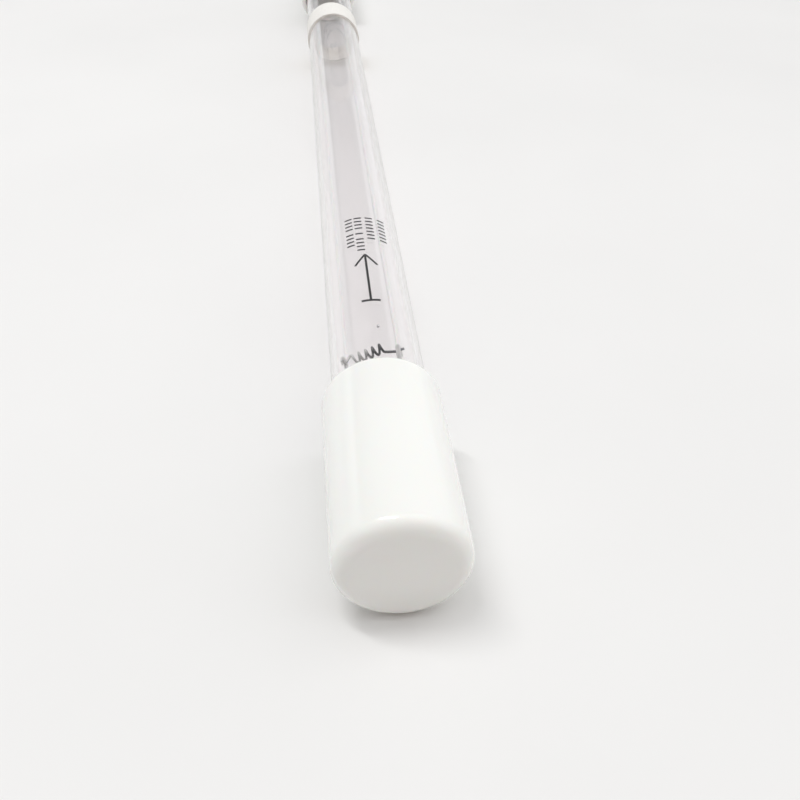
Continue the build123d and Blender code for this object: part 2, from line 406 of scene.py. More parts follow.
@dataclass(frozen=True)
class InsulatingSleeve(Finish):
    """Milky white sleeving, matt and a little uneven."""

    name: str = "white_sleeving"
    slot: Slot = Slot.SLEEVING

    def mix(self, recipe: Recipe) -> None:
        """Lay out the sleeving.

        Args:
            recipe: The empty material.
        """
        recipe.constants({"Subsurface Weight": 0.3, "Subsurface Scale": 0.5 * MM})
        milk = recipe.grain(800, (1, 0.15, 1), 3)
        recipe.colour(recipe.ramp(milk, 0.3, 0.7, (0.84, 0.84, 0.83, 1), (0.9, 0.9, 0.89, 1)))
        recipe.roughness(recipe.spread(milk, 0.38, 0.55))
        recipe.relief(milk, 0.12, 0.03 * MM)


@dataclass(frozen=True)
class BindingBand(Finish):
    """Pale thin heat-resistant tape with a plain weave, which lets some light through."""

    name: str = "binding_tape"
    slot: Slot = Slot.BAND
    thread: float = 0.45 * MM
    waves_a_thread: float = 0.31
    light_share: float = 0.88

    def mix(self, recipe: Recipe) -> None:
        """Lay out the tape.

        Args:
            recipe: The empty material.
        """
        place = recipe.node("TexCoord")
        threads = {"Vector": place.outputs["Object"], "Scale": self.waves_a_thread / self.thread,
                   "Distortion": 0.6, "Detail": 1.0}
        waves = [recipe.node("TexWave", threads, bands_direction=direction).outputs["Fac"]
                 for direction in ("X", "Y")]
        weave = recipe.node("Math", {0: waves[0], 1: waves[1]}, operation="MAXIMUM").outputs["Value"]
        fluff = recipe.grain(1500, detail=4)
        shade = recipe.node("Math", {0: weave, 1: fluff}, operation="MULTIPLY").outputs["Value"]
        recipe.colour(recipe.ramp(shade, 0.1, 0.6, (0.84, 0.82, 0.78, 1), (0.93, 0.92, 0.89, 1)))
        recipe.roughness(recipe.spread(fluff, 0.7, 0.9))
        recipe.relief(weave, 0.5, 0.08 * MM)
        recipe.let_light_by(self.light_share, (1, 0.99, 0.97, 1))


@dataclass(frozen=True)
class PrintInk(Finish):
    """Black ceramic ink, a little worn."""

    name: str = "fired_black_ink"
    slot: Slot = Slot.QUARTZ

    def mix(self, recipe: Recipe) -> None:
        """Lay out the ink.

        Args:
            recipe: The empty material.
        """
        wear = recipe.grain(3200, detail=4)
        recipe.colour(recipe.ramp(wear, 0.5, 0.75, (0.012, 0.012, 0.013, 1), (0.09, 0.09, 0.092, 1)))
        recipe.roughness(recipe.spread(wear, 0.4, 0.6))
        recipe.relief(wear, 0.2, 0.01 * MM)


@dataclass(frozen=True)
class TableTop(Finish):
    """The pale board that the lamp lies on, which is no part of it and has no slot."""

    name: str = "pale_board"
    slot: Slot | None = None
    dark: Colour = (0.84, 0.838, 0.832, 1)
    light: Colour = (0.86, 0.858, 0.852, 1)

    def mix(self, recipe: Recipe) -> None:
        """Lay out the board.

        Args:
            recipe: The empty material.
        """
        recipe.constants({"Specular IOR Level": 0.1})
        mottle = recipe.grain(14, detail=3)
        recipe.colour(recipe.ramp(mottle, 0.3, 0.7, self.dark, self.light))
        recipe.roughness(recipe.spread(mottle, 0.55, 0.7))


@dataclass(frozen=True)
class Finishes:
    """The finishes of the lamp's pieces."""

    glass: Finish = QuartzGlass()
    ceramic: Finish = GlazedCeramic()
    cement: Finish = BasingCement()
    steel: Finish = DrawnMetal()
    tungsten: Finish = CoatedTungsten()
    molybdenum: Finish = DrawnMetal("sealed_molybdenum", Slot.MOLYBDENUM, dark=(0.3, 0.3, 0.31, 1),
                                    light=(0.48, 0.48, 0.5, 1), smooth=0.35, rough=0.5, relief=0.1)
    nickel: Finish = DrawnMetal("plated_nickel", Slot.NICKEL, dark=(0.58, 0.56, 0.52, 1),
                                light=(0.75, 0.735, 0.7, 1), smooth=0.16, rough=0.3, relief=0.08)
    sleeving: Finish = InsulatingSleeve()
    tape: Finish = BindingBand()
    mercury: Finish = LiquidMetal()
    ink: Finish = PrintInk()
    table: Finish = TableTop()


# ---------------------------------------------------------------- bench tools


class Workpiece:
    """A mesh object while it is shaped with the edit-mode tools."""

    def __init__(self, name: str) -> None:
        """Take over the active object, which a primitive has just made.

        Args:
            name: The piece's name.
        """
        self.thing = bpy.context.active_object
        self.thing.name = name
        self.thing.data.name = name
        bpy.ops.object.transform_apply(location=True, rotation=True, scale=True)

    @classmethod
    def bar(cls, name: str, radius: float, start: Point, length: float, sides: int) -> "Workpiece":
        """Start from a round bar along Y.

        Args:
            name: The piece's name.
            radius: The bar's radius.
            start: The centre of its end at -Y.
            length: Its length.
            sides: Faces round it.

        Returns:
            The bar.
        """
        nothing_selected()
        middle = (start[0], start[1] + length / 2, start[2])
        bpy.ops.mesh.primitive_cylinder_add(vertices=sides, radius=radius, depth=length, location=middle,
                                            rotation=(math.pi / 2, 0, 0))
        return cls(name)

    @classmethod
    def ring(cls, name: str, radius: float, centre: Point, sides: int, filled: bool = False) -> "Workpiece":
        """Start from a circle that faces along Y.

        Args:
            name: The piece's name.
            radius: The circle's radius.
            centre: Its centre.
            sides: Its number of corners.
            filled: Whether it is a disc.

        Returns:
            The circle.
        """
        nothing_selected()
        bpy.ops.mesh.primitive_circle_add(vertices=sides, radius=radius, location=centre,
                                          rotation=(math.pi / 2, 0, 0),
                                          fill_type="NGON" if filled else "NOTHING")
        return cls(name)

    @classmethod
    def block(cls, name: str, centre: Point, size: Point) -> "Workpiece":
        """Start from a block.

        Args:
            name: The piece's name.
            centre: Its centre.
            size: Its size along X, Y and Z.

        Returns:
            The block.
        """
        nothing_selected()
        bpy.ops.mesh.primitive_cube_add(size=1, location=centre, scale=size)
        return cls(name)

    def take(self) -> None:
        """Make this piece the only selected and the active one."""
        nothing_selected()
        self.thing.select_set(True)
        bpy.context.view_layer.objects.active = self.thing

    def edit(self) -> None:
        """Go into edit mode on this piece."""
        self.take()
        bpy.ops.object.mode_set(mode="EDIT")

    def done(self) -> None:
        """Leave edit mode."""
        bpy.ops.object.mode_set(mode="OBJECT")

    def pick(self, element: Element, test: Test) -> int:
        """Select what passes a test, and nothing else.

        Args:
            element: What is tested.
            test: Gets a place, and a face's or vertex's normal or an edge's direction.

        Returns:
            How many were selected.
        """
        bpy.ops.mesh.select_mode(type=element.value)
        bpy.ops.mesh.select_all(action="DESELECT")
        shape = bmesh.from_edit_mesh(self.thing.data)
        shape.normal_update()
        count = 0
        if element is Element.FACES:
            for face in shape.faces:
                if test(face.calc_center_median(), face.normal):
                    face.select_set(True)
                    count += 1
        elif element is Element.EDGES:
            for edge in shape.edges:
                first, last = edge.verts
                if test((first.co + last.co) / 2, (last.co - first.co).normalized()):
                    edge.select_set(True)
                    count += 1
        else:
            for vert in shape.verts:
                if test(vert.co, vert.normal):
                    vert.select_set(True)
                    count += 1
        shape.select_flush_mode()
        bmesh.update_edit_mesh(self.thing.data)
        return count

    def extrude(self, step: Sequence[float]) -> None:
        """Extrude the selection.

        Args:
            step: How far it moves.
        """
        bpy.ops.mesh.extrude_region_move(TRANSFORM_OT_translate={"value": tuple(step)})

    def resize(self, share: Point, centre: Point) -> None:
        """Scale the selection.

        Args:
            share: Scale along X, Y and Z.
            centre: The point that stays.
        """
        bpy.ops.transform.resize(value=share, center_override=centre)

    def inset(self, width: float, depth: float = 0.0) -> None:
        """Inset the selected faces.

        Args:
            width: Width of the rim.
            depth: How far the inner face rises.
        """
        bpy.ops.mesh.inset(thickness=width, depth=depth)

    def bevel(self, width: float, steps: int) -> None:
        """Round the selected edges.

        Args:
            width: Radius of the rounding.
            steps: Faces across it.
        """
        bpy.ops.mesh.bevel(offset=width, segments=steps, affect="EDGES", clamp_overlap=False)

    def bevel_rim(self, y: float, radius: float, reach: float, steps: int) -> None:
        """Round a circular rim about the Y axis.

        Args:
            y: Where the rim lies.
            radius: The rim's radius.
            reach: Radius of the rounding.
            steps: Faces across the rounding.
        """
        def on_rim(place: Vector, along: Vector) -> bool:
            """Tell an edge of the rim by its place and direction."""
            away = math.hypot(place.x, place.z) - radius
            return abs(place.y - y) < NEAR and abs(along.y) < ACROSS and abs(away) < RIM_SLACK

        self.pick(Element.EDGES, on_rim)
        self.bevel(reach, steps)

    def modifier(self, kind: str, **settings: object) -> None:
        """Add a modifier and apply it.

        Args:
            kind: The modifier's type.
            settings: Its attributes.
        """
        self.take()
        made = self.thing.modifiers.new(kind.title(), kind)
        for name, value in settings.items():
            setattr(made, name, value)
        bpy.ops.object.modifier_apply(modifier=made.name)

    def cut(self, cutters: Iterable["Workpiece"], operation: str = "DIFFERENCE") -> None:
        """Cut other pieces out of this one, or join them to it, and remove them.

        Args:
            cutters: The other pieces.
            operation: The Boolean operation.
        """
        for cutter in cutters:
            self.modifier("BOOLEAN", operation=operation, solver="EXACT", object=cutter.thing)
            bpy.data.objects.remove(cutter.thing)

    def place(self, matrix: Matrix) -> None:
        """Move the mesh for good.

        Args:
            matrix: Where it goes.
        """
        self.take()
        self.thing.matrix_world = matrix
        bpy.ops.object.transform_apply(location=True, rotation=True, scale=True)
        if matrix.determinant() < 0:
            self.face_outwards()

    def face_outwards(self) -> None:
        """Merge doubles and turn the faces of a closed shell outwards."""
        self.edit()
        bpy.ops.mesh.select_all(action="SELECT")
        bpy.ops.mesh.remove_doubles(threshold=DOUBLES)
        bpy.ops.mesh.normals_make_consistent(inside=False)
        self.done()

    def copy(self, name: str) -> "Workpiece":
        """Copy the piece with a mesh of its own.

        Args:
            name: The copy's name.

        Returns:
            The copy.
        """
        self.take()
        bpy.ops.object.duplicate(linked=False)
        return Workpiece(name)

    def join(self, others: Iterable["Workpiece"]) -> None:
        """Join other pieces to this one.

        Args:
            others: The pieces, which become part of this one.
        """
        self.take()
        for other in others:
            other.thing.select_set(True)
        bpy.ops.object.join()

    def settle(self, finish: Finish, *nodes: str, crease: float = 35.0) -> None:
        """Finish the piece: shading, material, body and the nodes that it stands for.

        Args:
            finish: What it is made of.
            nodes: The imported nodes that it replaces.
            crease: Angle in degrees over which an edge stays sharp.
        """
        self.take()
        bpy.ops.object.shade_smooth_by_angle(angle=math.radians(crease))
        self.thing.data.materials.clear()
        self.thing.data.materials.append(finish.material())
        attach(self.thing, "root")
        if nodes:
            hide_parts(*nodes)
        LOG.info("%s: %d faces", self.thing.name, len(self.thing.data.polygons))


class Wire(Workpiece):
    """A drawn wire, bent as on a bench: straight stretches are extruded and bends are spun."""

    heading: Vector
    tip: Vector

    @classmethod
    def start(cls, name: str, radius: float, tip: Point, sides: int = 20) -> "Wire":
        """Start a wire that runs along +Y.

        Args:
            name: The piece's name.
            radius: The wire's radius.
            tip: Where it starts.
            sides: Faces round it.

        Returns:
            The wire, in edit mode with its end face selected.
        """
        wire = cls.ring(name, radius, tip, sides, filled=True)
        wire.heading, wire.tip = Vector((0, 1, 0)), Vector(tip)
        wire.edit()
        bpy.ops.mesh.select_all(action="SELECT")
        return wire

    def straight(self, length: float) -> None:
        """Run on straight.

        Args:
            length: How far.
        """
        self.extrude(self.heading * length)
        self.tip = self.tip + self.heading * length

    def bend(self, angle: float, radius: float, towards: Point) -> None:
        """Bend the wire in an arc.

        Args:
            angle: The arc's angle in degrees.
            radius: Radius of its centreline.
            towards: Direction from the wire to the arc's centre.
        """
        centre = self.tip + Vector(towards) * radius
        axis = self.heading.cross(Vector(towards))
        turn = math.radians(angle)
        bpy.ops.mesh.spin(steps=max(3, round(angle / BEND_STEP)), angle=-turn, center=centre, axis=axis)
        rotation = Matrix.Rotation(turn, 3, axis)
        self.tip = centre + rotation @ (self.tip - centre)
        self.heading = rotation @ self.heading

    def bend_towards(self, target: Vector, radius: float) -> None:
        """Bend the wire in an arc until it points at a place.

        Args:
            target: The place.
            radius: Radius of the arc's centreline.
        """
        ahead = self.heading
        aside = target - self.tip
        aside = aside - ahead * aside.dot(ahead)
        if aside.length < NEAR:
            return
        aside.normalize()
        away = target - self.tip - aside * radius
        across, along = away.dot(aside), away.dot(ahead)
        angle = math.acos(-radius / math.hypot(across, along)) - math.atan2(along, across)
        self.bend(math.degrees(angle), radius, aside)

    def thread(self, places: Sequence[Point], radius: float) -> None:
        """Lead the wire from place to place, its corners rounded.

        Args:
            places: The places; the wire ends at the last.
            radius: Radius of the bends' centreline.
        """
        for count, place in enumerate(places, 1):
            target = Vector(place)
            self.bend_towards(target, radius)
            short = 0.0 if count == len(places) else radius / 2
            self.straight((target - self.tip).length - short)

    def close(self) -> None:
        """End the wire and turn its faces outwards."""
        self.done()
        self.face_outwards()


def nothing_selected() -> None:
    """Deselect every object."""
    if bpy.context.mode != "OBJECT":
        bpy.ops.object.mode_set(mode="OBJECT")
    bpy.ops.object.select_all(action="DESELECT")


def smooth_step(share: float) -> float:
    """Return the smooth S curve's height at a share of its run."""
    return share * share * (3 - 2 * share)


# ---------------------------------------------------------------- layout


@dataclass(frozen=True)
class Layout:
    """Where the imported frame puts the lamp's main points."""

    axis_z: float
    cap_face: float
    cap_mouth: float
    base_face: float
    shell_radius: float
    tube_radius: float
    seal_inset: float
    stub_inset: float
    mount_turn: float
    left_lead: float
    right_lead: float

    @classmethod
    def from_frame(cls) -> "Layout":
        """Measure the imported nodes.

        Returns:
            The layout.
        """
        cap_low, cap_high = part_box("plain_cap")
        base_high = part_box("pin_base")[1]
        tube_low, tube_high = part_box("quartz_tube")
        axis_z = (cap_low.z + cap_high.z) / 2
        leads = [middle_of(f"cap_outer_lead_{side.name.lower()}") for side in Side]
        across = leads[1] - leads[0]
        turn = math.atan2(across.z, across.x)
        along = Vector((math.cos(turn), 0, math.sin(turn)))
        left, right = (along.dot(lead - Vector((0, 0, axis_z))) for lead in leads)
        return cls(axis_z=axis_z, cap_face=cap_low.y, cap_mouth=cap_high.y, base_face=base_high.y,
                   shell_radius=(cap_high.x - cap_low.x) / 2, tube_radius=(tube_high.x - tube_low.x) / 2,
                   seal_inset=base_high.y - tube_high.y, stub_inset=tube_low.y - cap_low.y,
                   mount_turn=turn, left_lead=left, right_lead=right)

    @property
    def length(self) -> float:
        """The lamp's length from face to face of its ceramic ends."""
        return self.base_face - self.cap_face

    def stand(self, end: End, turned: bool = True) -> Matrix:
        """Say where a piece drawn about the Y axis, from the face of an end, goes.

        Args:
            end: The end that it belongs to.
            turned: Whether it turns with the seals.

        Returns:
            The matrix, which mirrors a piece to the pin base.
        """
        turn = Matrix.Rotation(-self.mount_turn, 4, "Y") if turned else Matrix.Identity(4)
        if end is End.CAP:
            return Matrix.Translation((0, self.cap_face, self.axis_z)) @ turn
        mirror = Matrix.Scale(-1, 4, (0, 1, 0))
        return Matrix.Translation((0, self.base_face, self.axis_z)) @ turn @ mirror


def middle_of(node: str) -> Vector:
    """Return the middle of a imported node's box.

    Args:
        node: The node's name.

    Returns:
        The middle.
    """
    low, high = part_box(node)
    return (low + high) / 2


# ---------------------------------------------------------------- sub-assemblies


@dataclass
class QuartzEnvelope:
    """The clear tube with a pinched seal at each end."""

    layout: Layout
    wall: float = 1.1 * MM
    pinch_length: float = 12.0 * MM
    pinch_half: float = 1.6 * MM
    slit_half: float = 0.8 * MM
    shoulder: float = 8.0 * MM
    shoulder_steps: int = 10
    flare: float = 0.3 * MM
    window_half_width: float = 5.8 * MM
    window_length: float = 8.6 * MM
    window_depth: float = 0.3 * MM
    stub_radius: float = 1.3 * MM
    stub_round: float = 0.8 * MM
    stub_sides: int = 32
    sides: int = 320

    def build(self, finish: Finish) -> Workpiece:
        """Make the envelope and dress it.

        Args:
            finish: The glass.

        Returns:
            The envelope.
        """
        body = self.blown("quartz_envelope", self.layout.tube_radius, self.pinch_half, self.pinch_length)
        self.press_windows(body)
        self.add_stub(body)
        hollow = self.blown("envelope_hollow", self.layout.tube_radius - self.wall, self.slit_half, 0.0)
        hollow.edit()
        bpy.ops.mesh.select_all(action="SELECT")
        bpy.ops.mesh.flip_normals()
        hollow.done()
        body.join([hollow])
        body.place(self.layout.stand(End.CAP))
        body.settle(finish, "quartz_tube", crease=30.0)
        return body

    def blown(self, name: str, radius: float, flat_half: float, seal: float) -> Workpiece:
        """Draw a tube whose ends are squeezed flat, along Y from the cap's face.

        Args:
            name: The piece's name.
            radius: The round tube's radius.
            flat_half: Half the thickness of a flat end.
            seal: Length of the flat end.

        Returns:
            The closed shape.
        """
        root = self.layout.seal_inset + self.pinch_length
        near, far = root + self.shoulder, self.layout.length - root - self.shoulder
        tube = Workpiece.ring(name, radius, (0, near, 0), self.sides)
        tube.edit()
        bpy.ops.mesh.select_all(action="SELECT")
        tube.extrude((0, far - near, 0))
        for start, way in ((far, 1), (near, -1)):
            self.squeeze(tube, start, way, radius, flat_half, seal)
        bpy.ops.mesh.select_all(action="SELECT")
        bpy.ops.mesh.normals_make_consistent(inside=False)
        tube.done()
        return tube

    def squeeze(self, tube: Workpiece, start: float, way: int, radius: float, flat_half: float,
                seal: float) -> None:
        """Draw one shoulder and its flat end, and close it.

        Args:
            tube: The tube, in edit mode.
            start: Where the round tube ends.
            way: The way the end points along Y.
            radius: The round tube's radius.
            flat_half: Half the thickness of the flat end.
            seal: Length of the flat end.
        """
        margin = (self.pinch_length - self.window_length) / 2
        runs = [self.shoulder / self.shoulder_steps] * self.shoulder_steps
        if seal:
            runs += [margin, self.window_length, margin]
        y = start
        for count, run in enumerate(runs, 1):
            self.pick_ring(tube, y)
            tube.extrude((0, way * run, 0))
            y += way * run
            share = smooth_step(max(0.0, 1 - count / self.shoulder_steps))
            half = flat_half + share * (radius + self.flare - flat_half)
            self.flatten(tube, y, half)
        self.pick_ring(tube, y)
        bpy.ops.mesh.edge_face_add()

    def pick_ring(self, tube: Workpiece, y: float) -> None:
        """Select the ring of corners at a place along the tube.

        Args:
            tube: The tube, in edit mode.
            y: Where the ring lies.
        """
        tube.pick(Element.VERTS, lambda place, _: abs(place.y - y) < NEAR)

    def flatten(self, tube: Workpiece, y: float, half: float) -> None:
        """Press the corners of a ring that lie beyond a height down to it.

        Args:
            tube: The tube, in edit mode.
            y: Where the ring lies.
            half: The height, above and below.
        """
        for level in (half, -half):
            beyond = tube.pick(Element.VERTS, lambda place, _: abs(place.y - y) < NEAR
                               and (place.z - level) * level > 0)
            if beyond:
                tube.resize((1, 1, 0), (0, y, level))

    def press_windows(self, body: Workpiece) -> None:
        """Press the thinned window over the foils into both faces of both seals.

        Args:
            body: The envelope's outside.
        """
        middle = self.layout.seal_inset + self.pinch_length / 2
        body.edit()
        for y in (middle, self.layout.length - middle):
            for face in (1, -1):
                body.pick(Element.FACES, lambda place, normal: normal.z * face > FACING
                          and abs(place.y - y) < self.window_length / 4
                          and abs(place.x) < self.window_half_width)
                body.extrude((0, 0, -face * self.window_depth))
        body.done()

    def add_stub(self, body: Workpiece) -> None:
        """Join the sealed stub of the pumping tube to the seal in the plain cap.

        Args:
            body: The envelope's outside.
        """
        start, end = self.layout.stub_inset, self.layout.seal_inset
        length = end - start + OVERRUN
        stub = Workpiece.bar("pump_stub", self.stub_radius, (0, start, 0), length, self.stub_sides)
        stub.edit()
        stub.bevel_rim(start, self.stub_radius, self.stub_round, steps=5)
        stub.done()
        body.cut([stub], "UNION")


@dataclass
class CeramicEnd:
    """A glazed ceramic end: a thick-walled cup with rounded rims and slots for the return leads."""

    layout: Layout
    end: End
    floor: float
    face_round: float
    wall: float = 1.3 * MM
    mouth_round: float = 0.8 * MM
    lip_round: float = 0.25 * MM
    root_round: float = 0.6 * MM
    slot_width: float = 0.7 * MM
    slot_depth: float = 0.52 * MM
    slot_start: float = 4.7 * MM
    slot_angle: float = 45.0
    sides: int = 128
    pin_holes: list[Vector] = field(default_factory=list)
    hole_radius: float = 1.34 * MM
    hole_sides: int = 40

    @property
    def length(self) -> float:
        """The end's length along the lamp."""
        return self.layout.cap_mouth - self.layout.cap_face

    def build(self, finish: Finish, node: str) -> None:
        """Make the end and dress it.

        Args:
            finish: The ceramic.
            node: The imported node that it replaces.
        """
        radius, bore = self.layout.shell_radius, self.layout.shell_radius - self.wall
        cup = Workpiece.bar(f"glazed_{self.end.value}", radius, (0, 0, 0), self.length, self.sides)
        cup.edit()
        cup.pick(Element.FACES, lambda place, normal: normal.y > FACING)
        cup.inset(self.wall)
        cup.extrude((0, self.floor - self.length, 0))
        cup.bevel_rim(0, radius, self.face_round, steps=10)
        cup.bevel_rim(self.length, radius, self.mouth_round, steps=6)
        cup.bevel_rim(self.length, bore, self.lip_round, steps=3)
        cup.bevel_rim(self.floor, bore, self.root_round, steps=4)
        cup.done()
        cup.cut(self.slot_cutters(bore) + self.hole_cutters())
        cup.place(self.layout.stand(self.end, turned=False))
        cup.settle(finish, node)

    def slot_cutters(self, bore: float) -> list[Workpiece]:
        """Make the blocks that cut the two slots for the return leads.

        Args:
            bore: Radius of the cup's bore.

        Returns:
            The blocks.
        """
        run = self.length + OVERRUN - self.slot_start
        depth = self.slot_depth + OVERRUN
        middle = (0, self.slot_start + run / 2, -bore + OVERRUN - depth / 2)
        blocks = []
        for side in Side:
            block = Workpiece.block("slot_cutter", middle, (self.slot_width, run, depth))
            block.place(Matrix.Rotation(math.radians(-side.value * self.slot_angle), 4, "Y"))
            blocks.append(block)
        return blocks

    def hole_cutters(self) -> list[Workpiece]:
        """Make the bars that cut the seats of the contact pins.

        Returns:
            The bars, none for the plain cap.
        """
        run = self.floor + 2 * OVERRUN
        starts = [(hole.x, -OVERRUN, hole.z - self.layout.axis_z) for hole in self.pin_holes]
        return [Workpiece.bar("hole_cutter", self.hole_radius, start, run, self.hole_sides)
                for start in starts]


@dataclass
class ContactPins:
    """The four plated contact pins, each with its collar inside the base and a soldered tip."""

    layout: Layout
    radius: float = 1.2 * MM
    shank_radius: float = 1.3 * MM
    collar_radius: float = 1.8 * MM
    collar_height: float = 0.8 * MM
    floor: float = 4.0 * MM
    tip_round: float = 0.55 * MM
    solder_inset: float = 0.2 * MM
    sides: int = 48

    def build(self, finish: Finish) -> None:
        """Make one pin, copy it to the four places and dress them.

        Args:
            finish: The plating.
        """
        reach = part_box("contact_pin_upper_left")[1].y - self.layout.base_face
        pattern = self.turned_pin(reach)
        mirror = Matrix.Scale(-1, 4, (0, 1, 0))
        for node in self.nodes():
            centre = middle_of(node)
            pin = pattern.copy(f"plated_{node}")
            pin.place(Matrix.Translation((centre.x, self.layout.base_face, centre.z)) @ mirror)
            pin.settle(finish, node)
        bpy.data.objects.remove(pattern.thing)

    @staticmethod
    def nodes() -> list[str]:
        """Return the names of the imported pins."""
        return [f"contact_pin_{level}_{side.name.lower()}" for level in ("upper", "lower") for side in Side]

    def turned_pin(self, reach: float) -> Workpiece:
        """Turn a pin about the Y axis, its tip at -Y and the ceramic's face at 0.

        Args:
            reach: How far it stands out of the ceramic.

        Returns:
            The pin.
        """
        pin = Workpiece.bar("pin_pattern", self.radius, (0, -reach, 0), reach, self.sides)
        pin.edit()
        pin.pick(Element.FACES, lambda place, normal: normal.y > FACING)
        for radius, run in ((self.shank_radius, self.floor), (self.collar_radius, self.collar_height)):
            self.step_out(pin, radius)
            pin.extrude((0, run, 0))
        pin.bevel_rim(-reach, self.radius, self.tip_round, steps=7)
        pin.pick(Element.FACES, lambda place, normal: normal.y < -DEAD_ON and place.y < NEAR - reach)
        pin.inset(self.solder_inset)
        pin.inset(self.solder_inset / 2, -self.solder_inset / 2)
        pin.done()
        return pin

    def step_out(self, pin: Workpiece, radius: float) -> None:
        """Widen the pin with a flat shoulder at its selected end face.

        Args:
            pin: The pin, in edit mode.
            radius: The wider radius.
        """
        shape = bmesh.from_edit_mesh(pin.thing.data)
        picked = [vert.co for vert in shape.verts if vert.select]
        now = max(math.hypot(place.x, place.z) for place in picked)
        y = picked[0].y
        pin.extrude((0, 0, 0))
        pin.resize((radius / now, 1, radius / now), (0, y, 0))


@dataclass
class ElectrodeMounts:
    """Two hooked posts and a coil between them at each end, drawn in a seal that lies flat."""

    layout: Layout
    seal_root: float = 23.5 * MM
    post_radius: float = 0.4 * MM
    post_in_seal: float = 3.5 * MM
    coil_reach: float = 22.5 * MM
    coil_turns: int = 4
    coil_radius: float = 0.76 * MM
    coil_wire: float = 0.22 * MM
    to_left_hook: float = 1.67 * MM
    to_right_hook: float = 2.81 * MM
    hook_step: dict[Side, float] = field(default_factory=lambda: {Side.LEFT: 0.7 * MM, Side.RIGHT: 1.4 * MM})
    tail: dict[Side, float] = field(default_factory=lambda: {Side.LEFT: 0.6 * MM, Side.RIGHT: 0.9 * MM})
    leg_bend: float = 0.3 * MM
    slack: float = 0.65 * MM
    hook_gap: float = 0.025 * MM
    hook_return: float = 0.6 * MM
    post_end_rim: float = 0.12 * MM
    post_end_dome: float = 0.048 * MM
    post_sides: int = 24
    part_turn: float = 0.25
    coil_sides: int = 16
    steps_a_turn: int = 24

    @property
    def hook_radius(self) -> float:
        """Radius of a hook's centreline."""
        return self.post_radius + self.coil_wire + self.hook_gap

    @property
    def coil_y(self) -> float:
        """Where the coil's axis crosses, from the face of the end."""
        return self.seal_root + self.coil_reach

    @property
    def coil_z(self) -> float:
        """Height of the coil's axis, so that the left leg leaves its top level."""
        return self.hook_radius - self.coil_radius

    @property
    def pitch(self) -> float:
        """The coil's pitch."""
        span = self.layout.right_lead - self.layout.left_lead
        return (span - self.to_left_hook - self.to_right_hook) / self.coil_turns

    def build(self, post_finish: Finish, coil_finish: Finish) -> None:
        """Make the posts and coils of both ends and dress them.

        Args:
            post_finish: What the posts are made of.
            coil_finish: What the coils are made of.
        """
        for side in Side:
            pattern = self.post(side)
            for end in End:
                post = pattern.copy(f"{end.value}_hooked_post_{side.name.lower()}")
                post.place(self.layout.stand(end))
                post.settle(post_finish, f"{end.value}_post_{side.name.lower()}")
            bpy.data.objects.remove(pattern.thing)
        pattern = self.coil()
        for end in End:
            coil = pattern.copy(f"{end.value}_tungsten_coil")
            coil.place(self.layout.stand(end))
            coil.settle(coil_finish, f"{end.value}_filament")
        bpy.data.objects.remove(pattern.thing)

    def lead(self, side: Side) -> float:
        """Return where a lead lies across the seal."""
        return self.layout.left_lead if side is Side.LEFT else self.layout.right_lead

    def post(self, side: Side) -> Wire:
        """Bend a support post, from the seal to its hook.

        Args:
            side: Which post.

        Returns:
            The post.
        """
        start = self.seal_root - self.post_in_seal
        tip = self.coil_y - self.hook_step[side]
        root = (self.lead(side), start, 0)
        post = Wire.start(f"post_pattern_{side.name.lower()}", self.post_radius, root, self.post_sides)
        post.straight(tip - start)
        post.bend(180, self.hook_radius, (0, 0, -side.value))
        post.straight(self.hook_return)
        post.close()
        post.edit()
        post.pick(Element.FACES, lambda place, normal: normal.y < -HOOK_END and place.y > start + NEAR)
        post.inset(self.post_end_rim, self.post_end_dome)
        post.done()
        return post

    def coil(self) -> Wire:
        """Wind the coil and lead its two legs out through the hooks.

        Returns:
            The coil.
        """
        first = self.layout.left_lead + self.to_left_hook
        turns = self.coil_turns + self.part_turn
        coil = Wire.ring("coil_pattern", self.coil_wire, (0, 0, self.coil_radius), self.coil_sides)
        steps = round(self.steps_a_turn * turns)
        coil.modifier("SCREW", axis="X", angle=2 * math.pi * turns, screw_offset=self.pitch * turns,
                      steps=steps, render_steps=steps, use_merge_vertices=False)
        coil.place(Matrix.Translation((first, self.coil_y, self.coil_z)))
        coil.edit()
        coil.tip, coil.heading = Vector((first, self.coil_y, self.hook_radius)), Vector((0, 1, 0))
        self.pick_end(coil)
        coil.thread(self.leg(Side.LEFT), self.leg_bend)
        bpy.ops.mesh.edge_face_add()
        coil.tip = Vector((first + self.pitch * turns, self.coil_y - self.coil_radius, self.coil_z))
        coil.heading = Vector((0, 0, -1))
        self.pick_end(coil)
        dip = (coil.tip.x + self.slack, coil.tip.y, -self.hook_radius)
        coil.thread([dip, *self.leg(Side.RIGHT)], self.leg_bend)
        bpy.ops.mesh.edge_face_add()
        coil.close()
        return coil

    def leg(self, side: Side) -> list[Point]:
        """Say how the coil's leg runs through its hook.

        Args:
            side: Which leg.

        Returns:
            Where it comes in from the coil, and the end of its tail.
        """
        x, y, z = self.lead(side), self.coil_y - self.hook_step[side], -side.value * self.hook_radius
        inner = x - side.value * (self.post_radius + self.leg_bend / 2)
        return [(inner, y, z), (x + side.value * self.tail[side], y, z)]

    def pick_end(self, coil: Wire) -> None:
        """Select the open ring round the wire's tip.

        Args:
            coil: The coil, in edit mode, with its tip set.
        """
        coil.pick(Element.VERTS, lambda place, _: (place - coil.tip).length < TIP_REACH * self.coil_wire)


